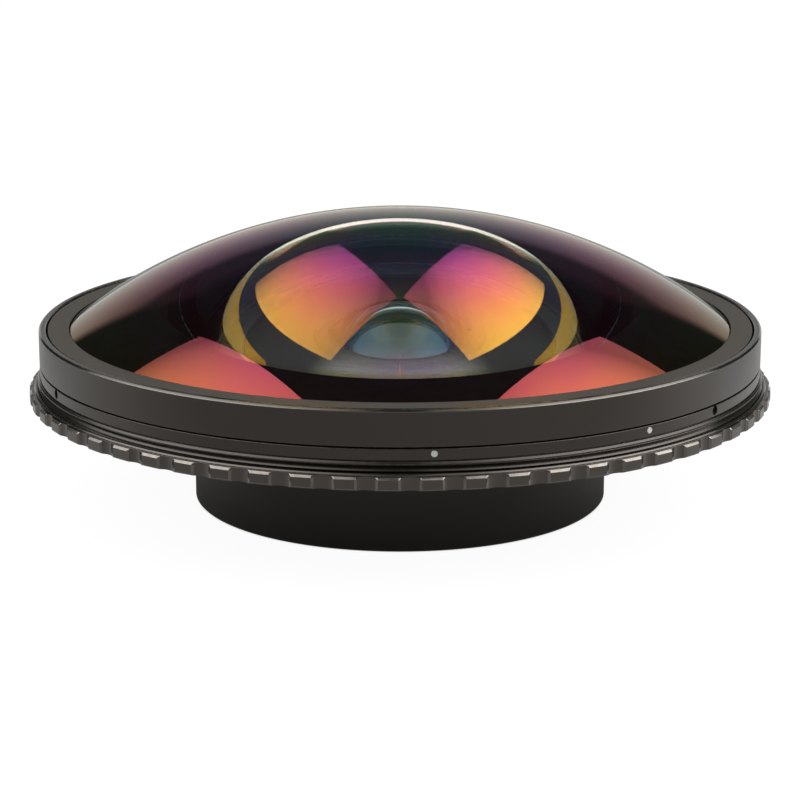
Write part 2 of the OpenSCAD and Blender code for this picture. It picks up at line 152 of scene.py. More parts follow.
def soft_box(name, side):
    """An area lamp whose long edge runs from overhead to the back; side is -1 for left and 1 for right."""
    lamp = bpy.data.lights.new(name, "AREA")
    lamp.shape = "RECTANGLE"
    lamp.size, lamp.size_y = BOX_SIZE
    lamp.energy = BOX_RADIANCE[side] * math.pi * BOX_SIZE[0] * BOX_SIZE[1]
    mirror = Vector((side, 1, 1))
    along, down = (BOX_ALONG * mirror).normalized(), (BOX_DOWN * mirror).normalized()
    facing = along.cross(down).normalized()
    centre = LENS_MIDDLE + BOX_SCALE * (BOX_CENTRE * mirror)
    if facing.dot(LENS_MIDDLE - centre) > 0:
        facing = -facing
    turn = Matrix((along, facing.cross(along), facing)).transposed().to_4x4()
    box = bpy.data.objects.new(name, lamp)
    box.matrix_world = Matrix.Translation(centre) @ turn
    box.visible_camera = False
    scene.collection.objects.link(box)
    share_along, share_down = HOT_SPOT[side]
    hot_spot = centre + along * share_along * BOX_SIZE[0] + down * share_down * BOX_SIZE[1]
    lamp.use_nodes = True
    tree = lamp.node_tree
    place = put(tree, "NewGeometry").outputs["Position"]
    away = put(tree, "VectorMath", {0: place, 1: hot_spot}, operation="SUBTRACT").outputs[0]
    fall = 0.0
    for quarter, size in enumerate(SPOT_REACH):
        lean = SPOT_TILT + quarter * math.pi / 2
        axis = (along * math.cos(lean) + down * math.sin(lean)) / size
        part = put(tree, "VectorMath", {0: away, 1: axis}, operation="DOT_PRODUCT").outputs["Value"]
        fall = math_node(tree, "ADD", times(tree, part, part), fall)
    emission = tree.nodes["Emission"].inputs
    emission["Color"].default_value = (*WHITE, 1)
    tree.links.new(span(tree, fall, 0.0, 1.0, SPOT_STRENGTH, FAR_STRENGTH), emission["Strength"])
    return box


for name, side in (("soft_box_left", -1), ("soft_box_right", 1)):
    box = soft_box(name, side)
    print(name, "at", [round(v, 2) for v in box.location], "with radiance", BOX_RADIANCE[side])

# %% [markdown]
# ## Table
# The table is white in the picture. A plain diffuse surface takes the lens's shadow, and a glow is added that only
# the camera, metal and glass can see, so no extra light falls on the lens. The glow also carries painted shade: it
# stops under the barrel as a painted shadow, and what the metal and the glass see of it is masked darker near the
# lens and on the camera's side. From below the table is clear.

# %% Table
BARREL_R = 39.2
TABLE_R, TABLE_Z, TABLE_SIDES = 40, -0.00005, 96
TABLE_GLOW, TABLE_COLOUR = 0.945, (0.11, 0.11, 0.11)
PAPER_GRAIN, PAPER_ROUGHNESS = (40.0, 3.0), (0.3, 0.6)
GLASS_TABLE_TINT = (1.2, 0.97, 0.85)
# Spans in metres from the axis, from side to side or from front to back, with the strengths at their two ends. They
# mask the glow into painted shade near the lens and on the camera's side.
GLASS_FOOT, GLASS_OPEN, GLASS_BACK = (0.05, 0.09), (0.11, 0.27), (0.03, 0.1)
METAL_FOOT, METAL_OPEN = (0.045, 0.085, 0.2, 1.0), (0.5, 1.5)
METAL_SIDES = (-0.1, 0.15, 0.95, 1.25)
METAL_DEPTHS = ((-0.11, -0.03, 0.34, 0.55), (0.03, 0.09, 1.0, 0.6))

table_material, tree = new_material("white_table")
ray = put(tree, "LightPath").outputs
place = put(tree, "TexCoord").outputs["Object"]
reach = put(tree, "VectorMath", {0: place}, operation="LENGTH").outputs["Value"]
across, depth = put(tree, "SeparateXYZ", {0: place}).outputs[:2]
# Painted shade: the glow that glass and metal see is masked darker near the lens and, for metal, on the camera's
# side.
glass_glow_with_painted_shade = times(tree, span(tree, reach, *GLASS_FOOT), math_node(
    tree, "MAXIMUM", span(tree, reach, *GLASS_OPEN), span(tree, depth, *GLASS_BACK)))
metal_painted_shade = times(tree, span(tree, reach, *METAL_FOOT), span(tree, across, *METAL_SIDES))
for limits in METAL_DEPTHS:
    metal_painted_shade = times(tree, metal_painted_shade, span(tree, depth, *limits))
metal_glow_with_painted_shade = math_node(tree, "MAXIMUM", metal_painted_shade, span(tree, reach, *METAL_OPEN))
# Painted shadow: the glow the camera sees fades out under the barrel.
camera_glow_with_painted_shadow = span(tree, reach, (BARREL_R - 2) * MM, BARREL_R * MM)
shown = 0.0
for share, kind in ((glass_glow_with_painted_shade, "Transmission"), (metal_glow_with_painted_shade, "Glossy"), (camera_glow_with_painted_shadow, "Camera")):
    shown = math_node(tree, "ADD", times(tree, share, ray["Is " + kind + " Ray"]), shown, clamp=True)
grain = noise(tree, place, *PAPER_GRAIN)
paper = put(tree, "BsdfDiffuse", {"Color": TABLE_COLOUR, "Roughness": span(tree, grain, 0, 1, *PAPER_ROUGHNESS)})
glow = put(tree, "Emission", {
    "Color": mix_colour(tree, ray["Is Transmission Ray"], WHITE, GLASS_TABLE_TINT),
    "Strength": times(tree, shown, TABLE_GLOW)})
both = put(tree, "AddShader", {0: paper.outputs[0], 1: glow.outputs[0]})
below = put(tree, "NewGeometry").outputs["Backfacing"]
clear = put(tree, "BsdfTransparent")
dress(tree, put(tree, "MixShader", {0: below, 1: both.outputs[0], 2: clear.outputs[0]}))

bpy.ops.mesh.primitive_circle_add(vertices=TABLE_SIDES, radius=TABLE_R, fill_type="NGON", location=(0, 0, TABLE_Z))
table = bpy.context.object
table.name = "white_table"
table.data.materials.append(table_material)
print("table radius", round(table.dimensions.x / 2, 1), "m")

# %% [markdown]
# ## Room
# The room is dim, as a studio is. Low down behind the lens is a pale backdrop that fades with height, and low down
# behind the camera the room is grey. Glass is shown a wider backdrop and a room in stronger tints, mostly blue and
# green. The coatings hold those tints back, so what comes out of the bubble is a neutral dark grey.

# %% Room
# Spans of the view's direction, sideways, up or from front to back, with the strengths at their two ends.
BACKDROP_SIDES, WIDE_SIDES = (0.45, 0.53, 1.0, 0.0), (0.95, 1.35, 1.0, 0.0)
WIDE_TOP, LOW_TOP, HIGH_TOP = (0.2, 0.3, 0.85, 0.0), (0.3, 0.4, 0.85, 0.0), (0.46, 0.56, 0.15, 0.0)
BACKDROP_FADE = (0.02, 0.3, 0.8, 0.24)
AHEAD_DEPTH, AHEAD_TOP = (-0.655, -0.91), (0.15, 0.6, 0.75, 0.0)
UP, AWAY, LEAST_DEPTH = (0.3, 0.9), (0.3, 0.7), 0.01
PLAIN_ROOM, PLAIN_AHEAD = (0.018, 0.03, 0.027), (0.25, 0.24, 0.22)
GLASS_LEVEL, GLASS_UP, GLASS_AWAY = (0.078, 0.135, 0.93), (0.055, 0.4, 0.13), (0.12, 0.26, 0.1)
GLASS_AHEAD, GLASS_BACKDROP = (1.1, 2.3, 15.5), (1.6, 1.4, 1.25)

world = bpy.data.worlds.new("dim_room")
scene.world = world
world.use_nodes = True
tree = world.node_tree
tree.nodes.clear()
ray = put(tree, "LightPath").outputs
by_glass = ray["Is Transmission Ray"]
view = put(tree, "TexCoord").outputs["Generated"]
across, depth, height = put(tree, "SeparateXYZ", {0: view}).outputs
sideways = math_node(tree, "DIVIDE", math_node(tree, "ABSOLUTE", across),
                     math_node(tree, "MAXIMUM", depth, LEAST_DEPTH))
narrow = span(tree, sideways, *BACKDROP_SIDES, smooth=True)
wide = times(tree, by_glass, times(
    tree, span(tree, sideways, *WIDE_SIDES, smooth=True), span(tree, height, *WIDE_TOP, smooth=True)))
low_part = math_node(tree, "MAXIMUM", wide, times(tree, narrow, span(tree, height, *LOW_TOP, smooth=True)))
high_part = times(tree, narrow, span(tree, height, *HIGH_TOP, smooth=True))
behind = math_node(tree, "ADD", low_part, high_part)
ahead = times(tree, span(tree, depth, *AHEAD_DEPTH, smooth=True), span(tree, height, *AHEAD_TOP, smooth=True))
overhead = mix_colour(tree, span(tree, height, *UP), GLASS_LEVEL, GLASS_UP)
ceiling = mix_colour(tree, span(tree, depth, *AWAY), overhead, GLASS_AWAY)
glass_room = mix_colour(tree, ahead, ceiling, GLASS_AHEAD)
plain_room = mix_colour(tree, ahead, PLAIN_ROOM, PLAIN_AHEAD)
dim = mix_colour(tree, by_glass, plain_room, glass_room)
pale = mix_colour(tree, by_glass, WHITE, GLASS_BACKDROP)
backdrop = times(tree, behind, math_node(tree, "MAXIMUM", span(tree, height, *BACKDROP_FADE), by_glass))
lit = mix_colour(tree, math_node(tree, "MAXIMUM", backdrop, ray["Is Camera Ray"]), dim, pale)
shade = put(tree, "Background", {"Color": lit, "Strength": 1.0})
put(tree, "OutputWorld", {"Surface": shade.outputs[0]})
print("room:", world.name, "with", len(tree.nodes), "nodes")

# %% [markdown]
# ## Turned pieces
# Nearly every piece of a lens comes off a lathe, so one helper turns an outline about the optical axis. Each corner
# of the outline is rounded by its own small amount, because real edges are broken and the bright line along an
# edge is what makes metal look like metal. The helper also writes the exact normal at each point, so a flat stays
# flat beside a rounded edge, and a "wear" value that is 1 on outer edges.

# %% Lathe helper
STEPS, INNER_STEPS, ARC_STEPS = 360, 180, 4
RUN_SHARE = 0.45
NO_LENGTH, ON_AXIS, MUCH_LONGER = 1e-9, 1e-6, 4


def polar(r, turn, z):
    """A point in metres from a radius, an angle and a height in millimetres."""
    return r * math.cos(turn) * MM, r * math.sin(turn) * MM, z * MM


def soften(outline, closed):
    """Rounds the corners of an outline of (r, z, rounding[, material]) and gives (r, z, wear, material) points."""
    points = []
    count = len(outline)
    for i, corner in enumerate(outline):
        r, z, rounding = corner[:3]
        material = corner[3] if len(corner) > 3 else 0
        here = Vector((r, z))
        ends = not closed and i in (0, count - 1)
        if ends or rounding == 0:
            points.append((r, z, 0.0, material))
            continue
        before = Vector(outline[i - 1][:2]) - here
        after = Vector(outline[(i + 1) % count][:2]) - here
        reach = min(rounding, RUN_SHARE * before.length, RUN_SHARE * after.length)
        start, stop = here + before.normalized() * reach, here + after.normalized() * reach
        convex = before.x * after.y - before.y * after.x
        for k in range(ARC_STEPS + 1):
            s = k / ARC_STEPS
            at = start * (1 - s) ** 2 + here * (2 * s * (1 - s)) + stop * s ** 2
            points.append((at.x, at.y, 4 * s * (1 - s) * (1 if convex < 0 else -1), material))
    return points


def signed_area(points):
    return sum(a[0] * b[1] - b[0] * a[1] for a, b in zip(points, points[1:] + points[:1])) / 2


def turned(name, outline, materials, replaces=(), closed=True, steps=STEPS):
    """Turns an outline about Z. An open outline starts and ends on the axis."""
    points = soften(outline, closed)
    if signed_area(points) < 0:
        points = soften([corner[:3] + tuple(outline[i - 1][3:]) for i, corner in enumerate(outline)][::-1], closed)
    mesh = bpy.data.meshes.new(name)
    maker = bmesh.new()
    wear = maker.verts.layers.float.new("wear")
    rows = []
    for r, z, worn, _ in points:
        ring = []
        for k in range(1 if r < ON_AXIS else steps):
            vertex = maker.verts.new(polar(r, 2 * math.pi * k / steps, z))
            vertex[wear] = max(worn, 0.0)
            ring.append(vertex)
        rows.append(ring)
    following = rows[1:] + rows[:1] if closed else rows[1:]
    for low, high, point in zip(rows, following, points):
        for k in range(steps):
            quad = [low[k % len(low)], low[(k + 1) % len(low)], high[(k + 1) % len(high)], high[k % len(high)]]
            corners = [v for j, v in enumerate(quad) if v not in quad[:j]]
            face = maker.faces.new(corners)
            face.material_index = point[3]
            face.smooth = True
    maker.to_mesh(mesh)
    maker.free()
    for material in materials:
        mesh.materials.append(material)
    set_turned_normals(mesh, points, closed, steps)
    return place_piece(name, mesh, replaces)


def set_turned_normals(mesh, points, closed, steps):
    """Gives every vertex the exact normal of the turned outline."""
    normals = []
    count = len(points)
    for i, point in enumerate(points):
        last = points[i - 1] if closed or i else point
        following = points[(i + 1) % count] if closed or i + 1 < count else point
        runs = [Vector((b[0] - a[0], b[1] - a[1])) for a, b in ((last, point), (point, following))]
        along = flat_edge([run for run in runs if run.length > NO_LENGTH])
        out = Vector((along.y, -along.x))
        if point[0] < ON_AXIS:
            normals.append((0, 0, 1 if out.y > 0 else -1))
            continue
        for k in range(steps):
            turn = 2 * math.pi * k / steps
            normals.append((out.x * math.cos(turn), out.x * math.sin(turn), out.y))
    mesh.normals_split_custom_set_from_vertices(normals)


def flat_edge(runs):
    """The outline's direction at a point: where a rounding meets a straight run, the straight run decides."""
    first, last = runs[0], runs[-1]
    if first.length > MUCH_LONGER * last.length:
        return first.normalized()
    if last.length > MUCH_LONGER * first.length:
        return last.normalized()
    return (first.normalized() + last.normalized()).normalized()


def place_piece(name, mesh, replaces=(), body="lens"):
    """Links a finished mesh, parents it to the body that carries it and hides the solids it stands for."""
    piece = bpy.data.objects.new(name, mesh)
    scene.collection.objects.link(piece)
    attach(piece, body)
    if replaces:
        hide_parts(*replaces)
    print(name, len(mesh.polygons), "faces, top at", round(max(v.co.z for v in mesh.vertices) / MM, 2), "mm")
    return piece


def arc(radius, centre_z, r_from, r_to, count, material=0, upper=True):
    """Points along a spherical surface, from one radius to another."""
    points = []
    for k in range(count + 1):
        r = r_from + (r_to - r_from) * k / count
        rise = math.sqrt(radius * radius - r * r)
        points.append((r, centre_z + (rise if upper else -rise), 0, material))
    return points


# %% [markdown]
# ## Finishes for the metal
# The front barrel, the body and the fluted ring are dark anodised aluminium: black dye in a clear hard oxide. So
# they are nearly black, with a clear gloss that grows towards the edges of the view. Fine lines run round them from
# the lathe tool. They are noise on the radius, the height and the cosine of the angle, so they close up all the way
# round, and they drive colour, roughness and a very small bump. Outer edges have lost some dye.

# %% Anodised metal
LINE_DRIFT, CLOUD_SCALE, SCUFF_SCALE = 1.5, 60.0, 900.0
NOISE_SPAN, TONE_SPAN, SCUFF_SPAN, WEAR_SPAN = (0.3, 0.7), (0.35, 0.65), (0.38, 0.62), (0.3, 1.0)
LINE_BUMP, LINE_SHARE = 0.00002, 0.6
LINE_ROUGHNESS, CLOUD_ROUGHNESS = (-0.04, 0.05), (-0.03, 0.03)
OXIDE_TINT = (1.0, 0.9, 0.81)


def lathe_coordinates(tree):
    """The place, radius, height and angle of a point, as sockets, from object coordinates."""
    place = put(tree, "TexCoord").outputs["Object"]
    x, y, z = put(tree, "SeparateXYZ", {0: place}).outputs
    flat = put(tree, "CombineXYZ", {0: x, 1: y})
    r = put(tree, "VectorMath", {0: flat.outputs[0]}, operation="LENGTH").outputs["Value"]
    return place, r, z, math_node(tree, "ARCTAN2", y, x)


def tool_lines(tree, r, z, turn, fineness, drift):
    """Noise that is fine across the lathe's feed and long along the cut."""
    line = put(tree, "CombineXYZ", {
        0: times(tree, r, fineness), 1: times(tree, z, fineness),
        2: times(tree, math_node(tree, "COSINE", turn), drift)})
    return noise(tree, line.outputs[0], 1.0, 2.0)


def anodised(name, dark, light, bare, roughness, line_depth, fineness=9000.0, index=1.5, bare_gloss=0.0, patchy=1.0):
    """Dyed oxide on turned metal: dark and light are the dye's two tones and bare is the metal on worn edges, with
    its index raised by bare_gloss; where the "wear" value also marks a painted highlight, bare paints that
    highlight. Wear is in spots where patchy is 1 and even where it is 0."""
    material, tree = new_material(name)
    place, r, z, turn = lathe_coordinates(tree)
    lines = tool_lines(tree, r, z, turn, fineness, LINE_DRIFT)
    cloud = noise(tree, place, CLOUD_SCALE, 4.0)
    scuff = noise(tree, place, SCUFF_SCALE, 3.0)
    tone = math_node(tree, "ADD", times(tree, lines, LINE_SHARE), times(tree, cloud, 1 - LINE_SHARE))
    dye = mix_colour(tree, span(tree, tone, *TONE_SPAN), dark, light)
    edge = put(tree, "Attribute", attribute_name="wear").outputs["Fac"]
    worn = math_node(tree, "MULTIPLY", span(tree, edge, *WEAR_SPAN), span(
        tree, scuff, *SCUFF_SPAN, 1 - patchy, 1.0), clamp=True)
    low, high = [roughness + change for change in LINE_ROUGHNESS]
    rough = math_node(tree, "ADD", span(tree, lines, *NOISE_SPAN, low, high),
                      span(tree, cloud, *NOISE_SPAN, *CLOUD_ROUGHNESS))
    bump = put(tree, "Bump", {"Strength": line_depth, "Distance": LINE_BUMP, "Height": lines})
    principled(tree, {
        "Base Color": mix_colour(tree, worn, dye, bare), "Roughness": rough, "Normal": bump.outputs[0],
        "IOR": span(tree, worn, 0, 1, index, index + bare_gloss) if bare_gloss else index,
        "Specular Tint": OXIDE_TINT})
    return material


dark_anodised = anodised("satin_anodised", (0.0145, 0.0115, 0.009), (0.019, 0.0155, 0.012),
                         (0.08, 0.075, 0.068), 0.19, 0.05, index=1.68)
# On the fluted ring the bare colour and raised index are worn dye and also a painted highlight on the lands'
# chamfers and the flutes' sides.
ring_anodised = anodised("ring_anodised", (0.011, 0.009, 0.0075), (0.015, 0.0125, 0.0105),
                         (0.1, 0.093, 0.085), 0.12, 0.04, index=1.95, bare_gloss=0.95, patchy=0.35)
matt_anodised = anodised("matt_anodised", (0.066, 0.06, 0.052), (0.08, 0.073, 0.063),
                         (0.12, 0.11, 0.1), 0.52, 0.1, index=1.25)
barrel_black = anodised("barrel_black", (0.0175, 0.0165, 0.0135), (0.0215, 0.0205, 0.017),
                        (0.05, 0.05, 0.046), 0.4, 0.1, index=1.54)
baffle_black = anodised("baffle_black", (0.005, 0.004, 0.007), (0.007, 0.006, 0.009),
                        (0.005, 0.004, 0.007), 0.36, 0.3, 5200.0, index=1.18)
print("materials:", ", ".join(material.name for material in bpy.data.materials))

# %% [markdown]
# ## Finishes for the glass
# The colours in the dome are not in the glass. They come from a coating a fifth to two fifths of a micron thick,
# which reflects one colour better than another, as a film of oil does. The coating is thinner towards the edge of a
# steep surface, so the reflected colour runs from purple at the middle through red and orange to yellow at the rim.
# Thickness and tint are therefore mapped from the radius.

# %% Coated glass
GLASS_INDEX, DOME_FILM_INDEX = 1.517, 2.5
EDGE_DIM, SLANT_SPAN = (0.7, 0.2), (0.45, 0.75)
SMEAR, SMEAR_FILM, SMEAR_ROUGHNESS = (55.0, 3.0), (-2, 2), (0.55, 0.8, 0.0, 0.003)
SLANTED = (1, 0.94, 0.95)


def between(tree, factor, pair):
    """A colour that goes from the first of a pair to the second, or the plain colour if they are the same."""
    return pair[0] if pair[0] == pair[1] else mix_colour(tree, factor, *pair)


def coated_glass(name, film, film_index, tones=(WHITE,) * 2, slanted=(SLANTED,) * 2, edge=None, body=(WHITE,) * 2):
    """Clear glass with a coating: film is (radius, thickness) at the middle and at the rim, in mm and nm. Each pair
    of colours is for those two places: tones filter the reflection, slanted does so at a glancing view, and body
    filters what passes. An edge of (radius, share) dims the reflection in the last half millimetre."""
    material, tree = new_material(name)
    place, r = lathe_coordinates(tree)[:2]
    (middle_r, middle_film), (rim_r, rim_film) = film
    outward = span(tree, r, middle_r * MM, rim_r * MM)
    smear = noise(tree, place, *SMEAR)
    layer = math_node(tree, "ADD", span(tree, outward, 0, 1, middle_film, rim_film),
                      span(tree, smear, *NOISE_SPAN, *SMEAR_FILM))
    slant = put(tree, "LayerWeight", {"Blend": 0.5}).outputs["Facing"]
    tone = mix_colour(tree, span(tree, slant, *SLANT_SPAN), between(tree, outward, tones),
                      between(tree, outward, slanted))
    if edge:
        start, stop = [(edge[0] - gap) * MM for gap in EDGE_DIM]
        share = span(tree, r, start, stop, 1.0, edge[1])
        tone = put(tree, "VectorMath", {0: tone, "Scale": share}, operation="SCALE").outputs[0]
    principled(tree, {
        "Base Color": between(tree, outward, body), "Transmission Weight": 1.0, "IOR": GLASS_INDEX,
        "Roughness": span(tree, smear, *SMEAR_ROUGHNESS), "Specular Tint": tone,
        "Thin Film Thickness": layer, "Thin Film IOR": film_index})
    return material


DOME_FILM, HOLLOW_FILM = ((0, 262), (64, 204)), ((6, 374), (37, 281))
HOLLOW_RIM_R = 39.4
dome_front = coated_glass(
    "dome_front", DOME_FILM, DOME_FILM_INDEX, ((0.47, 0.35, 0.25), (0.49, 0.33, 0.165)),
    ((0.86, 0.6, 0.49), (0.7, 0.62, 0.5)))
dome_back = coated_glass(
    "dome_back", HOLLOW_FILM, DOME_FILM_INDEX, ((0.26, 0.44, 0.0), (0.61, 0.34, 0.34)),
    ((1, 0.95, 0.88),) * 2, (HOLLOW_RIM_R, 0.3))
inner_front = coated_glass(
    "inner_front", ((0, 200), (15, 194)), 1.7, ((0.28, 0.3, 0.26),) * 2, ((0.08, 0.08, 0.09),) * 2,
    body=((1.0, 0.77, 1.0), (0.36, 0.32, 0.38)))
inner_back = coated_glass("inner_back", ((0, 156), (11, 150)), 2.1, ((0.04, 0.07, 0.1),) * 2)
rear_coat = coated_glass("rear_coat", ((0, 112), (25, 108)), 1.25)
print("films on the dome, as radius in mm and thickness in nm:", DOME_FILM, HOLLOW_FILM)

# %% [markdown]
# ## Other finishes
# Paint, rubber and bare metal need only a little mottle, or the lathe's lines again.

# %% Paint and bare metal
PAINT_BUMP, METAL_BUMP, BUMP_STRENGTH = 0.00002, 0.00001, 0.3
PAINT_CHANGE, METAL_CHANGE = 0.08, 0.06
METAL_LINES = (7000.0, 2.0)


def paint(name, dark, light, roughness, scale, gloss=0.5):
    """A plain brushed or moulded finish with a little mottle."""
    material, tree = new_material(name)
    mottle = noise(tree, put(tree, "TexCoord").outputs["Object"], scale, 4.0)
    bump = put(tree, "Bump", {"Strength": BUMP_STRENGTH, "Distance": PAINT_BUMP, "Height": mottle})
    principled(tree, {
        "Base Color": mix_colour(tree, span(tree, mottle, *TONE_SPAN), dark, light),
        "Roughness": span(tree, mottle, *NOISE_SPAN, roughness - PAINT_CHANGE, roughness + PAINT_CHANGE),
        "Normal": bump.outputs[0], "Specular IOR Level": gloss})
    return material


def bare_metal(name, dark, light, roughness):
    """Bare metal with fine tool marks."""
    material, tree = new_material(name)
    lines = tool_lines(tree, *lathe_coordinates(tree)[1:], *METAL_LINES)
    bump = put(tree, "Bump", {"Strength": BUMP_STRENGTH, "Distance": METAL_BUMP, "Height": lines})
    principled(tree, {
        "Base Color": mix_colour(tree, lines, dark, light), "Metallic": 1.0, "Normal": bump.outputs[0],
        "Roughness": span(tree, lines, *NOISE_SPAN, roughness - METAL_CHANGE, roughness + METAL_CHANGE)})
    return material


edge_black = paint("edge_black", (0.003, 0.005, 0.004), (0.005, 0.007, 0.006), 0.7, 300.0, 0.0)
ground_edge = paint("ground_edge", (0.08, 0.08, 0.09), (0.1, 0.1, 0.11), 0.7, 300.0, 0.0)
rubber = paint("seal_rubber", (0.008, 0.008, 0.008), (0.014, 0.014, 0.014), 0.75, 700.0)
dot_white = paint("dot_white", (0.88, 0.88, 0.86), (0.97, 0.97, 0.95), 0.5, 1500.0)
steel = bare_metal("blackened_steel", (0.05, 0.05, 0.052), (0.12, 0.12, 0.124), 0.38)
brass = bare_metal("shim_brass", (0.55, 0.4, 0.17), (0.72, 0.55, 0.26), 0.3)
print("materials in all:", len(bpy.data.materials))

# %% [markdown]
# ## The dome
# The front glass is one closed piece with three kinds of face: the polished and coated dome, the polished and
# coated hollow behind it, and everything else, which is ground and painted black so that no stray light comes in.
# Seen through the dome, the hollow is the bubble in the middle, and the black paint is the dark round it.

# %% Front element
FRONT_RADIUS, FRONT_CENTRE_Z, FRONT_POINTS = 104.4, -50.4525, 110
GLASS_R, EDGE_Z, SEAT_Z, SEAT_IN_R = 64.0, 32.03, 26.83, 58.5
BEVEL, BEVEL_H = 0.25, 0.15
FOOT_R, FOOT_Z = 41.0, 25.88
HOLLOW_RADIUS, HOLLOW_CENTRE_Z, HOLLOW_POINTS = 45.3443, 3.43568, 90
POLISH_GAP = 0.04
FRONT_FACE, EDGE_FACE, BACK_FACE = 0, 1, 2

dome_outline = arc(FRONT_RADIUS, FRONT_CENTRE_Z, 0, GLASS_R - BEVEL, FRONT_POINTS, FRONT_FACE)
dome_outline += [(GLASS_R, EDGE_Z - BEVEL_H, 0.1, EDGE_FACE), (GLASS_R, SEAT_Z, 0.2, EDGE_FACE),
                 (SEAT_IN_R, SEAT_Z, 0.2, EDGE_FACE), (FOOT_R, FOOT_Z, 0.2, EDGE_FACE),
                 (HOLLOW_RIM_R, FOOT_Z, 0.03, EDGE_FACE)]
dome_outline += arc(HOLLOW_RADIUS, HOLLOW_CENTRE_Z, HOLLOW_RIM_R - POLISH_GAP, 0, HOLLOW_POINTS, BACK_FACE)
turned("dome", dome_outline, [dome_front, edge_black, dome_back],
       ["front_element"], closed=False)

# %% [markdown]
# ## Inner glass
# A small steep meniscus sits at the bottom of the bubble, and a flat doublet closes the rear. Each is turned from
# its two spherical faces. The edge of the small one is ground grey, and the others' edges are painted black.

# %% Second element and doublet
SECOND_R, SECOND_Z, SECOND_RIM_R, SECOND_EDGE_Z = 15.0, 12.5873, 11.0, 14.7
SECOND_APEX_Z, SECOND_FRONT = 22.7873, 18.0
SECOND_POLE_Z, SECOND_BACK = 20.5873, 11.5625
SECOND_POINTS, DOUBLET_POINTS = 40, 30
INNER_BEVEL = 0.1


def inner_glass(name, outline, finishes, node):
    turned(name, outline, finishes, [node], closed=False, steps=INNER_STEPS)


second_outline = arc(SECOND_FRONT, SECOND_APEX_Z - SECOND_FRONT, 0, SECOND_R - INNER_BEVEL, SECOND_POINTS,
                     FRONT_FACE)
second_outline += [(SECOND_R, SECOND_EDGE_Z, 0.05, EDGE_FACE), (SECOND_R, SECOND_Z, 0.1, EDGE_FACE),
                   (SECOND_RIM_R, SECOND_Z, 0.03, EDGE_FACE)]
second_outline += arc(SECOND_BACK, SECOND_POLE_Z - SECOND_BACK, SECOND_RIM_R - POLISH_GAP, 0, SECOND_POINTS,
                      BACK_FACE)
inner_glass("second_glass", second_outline, [inner_front, ground_edge, inner_back], "second_element")

DOUBLET_R, DOUBLET_RADIUS = 25.0, 200.0
REAR_GLASS_Z, CEMENT_POLE_Z, CEMENT, DOUBLET_APEX_Z = 6.15, 7.15, 0.02, 11.1873
THIRD_EDGE_TOP_Z, THIRD_EDGE_Z, FOURTH_EDGE_Z = 9.6, 8.74, 8.68
POLISHED_R = DOUBLET_R - INNER_BEVEL
doublet_finishes = [rear_coat, edge_black, rear_coat]
third_outline = arc(DOUBLET_RADIUS, DOUBLET_APEX_Z - DOUBLET_RADIUS, 0, POLISHED_R, DOUBLET_POINTS, FRONT_FACE)
third_outline += [(DOUBLET_R, THIRD_EDGE_TOP_Z, 0.05, EDGE_FACE), (DOUBLET_R, THIRD_EDGE_Z, 0.05, EDGE_FACE)]
third_outline += arc(DOUBLET_RADIUS, CEMENT_POLE_Z + DOUBLET_RADIUS, POLISHED_R, 0, DOUBLET_POINTS, BACK_FACE,
                     upper=False)
inner_glass("third_glass", third_outline, doublet_finishes, "third_element")

fourth_outline = arc(DOUBLET_RADIUS, CEMENT_POLE_Z - CEMENT + DOUBLET_RADIUS, 0, POLISHED_R, DOUBLET_POINTS,
                     FRONT_FACE, upper=False)
fourth_outline += [(DOUBLET_R, FOURTH_EDGE_Z, 0.05, EDGE_FACE), (DOUBLET_R, REAR_GLASS_Z, 0.1, BACK_FACE),
                   (0, REAR_GLASS_Z, 0, BACK_FACE)]
inner_glass("fourth_glass", fourth_outline, doublet_finishes, "fourth_element")

# %% [markdown]
# ## Barrels
# The front barrel is the upper wall with the rim. The rim's outer edge has a narrow chamfer in the fluted ring's
# brighter finish, which gives the thin bright line along it. The flat ring inside the rim holds the dome down; the
# gaps on both sides of it stay open and dark. The lens cell is a dull black, so that it hardly shows. Each corner is
# (radius, height, rounding), and a fourth number picks the second finish for the run that starts there.

# %% Front barrel and retaining ring
WALL_R, RIM_Z, RIM_BORE_R = 67.96, 33.8414, 66.6
SPIGOT_R, SPIGOT_Z, SEAM_Z = 66.0, 23.93, 27.38
LEDGE_R, LEDGE_Z, GLASS_BORE_R, RING_SEAT_Z = 59.0, 26.33, 64.2, 30.13
RIM_CHAMFER, BRIGHT_CUT = 0.36, 1
turned("front_barrel_wall", [
    (LEDGE_R, SPIGOT_Z, 0.1), (SPIGOT_R, SPIGOT_Z, 0.1), (SPIGOT_R, SEAM_Z, 0.05), (WALL_R - 0.1, SEAM_Z, 0.05),
    (WALL_R, SEAM_Z + 0.12, 0.08), (WALL_R, RIM_Z - RIM_CHAMFER, 0.12, BRIGHT_CUT),
    (WALL_R - RIM_CHAMFER, RIM_Z, 0.12), (RIM_BORE_R + 0.18, RIM_Z, 0.1), (RIM_BORE_R, RIM_Z - 0.2, 0.1),
    (RIM_BORE_R, RING_SEAT_Z, 0.1), (GLASS_BORE_R, RING_SEAT_Z, 0.1), (GLASS_BORE_R, LEDGE_Z, 0.1),
    (LEDGE_R, LEDGE_Z, 0.1)], [dark_anodised, ring_anodised], ["front_barrel"])

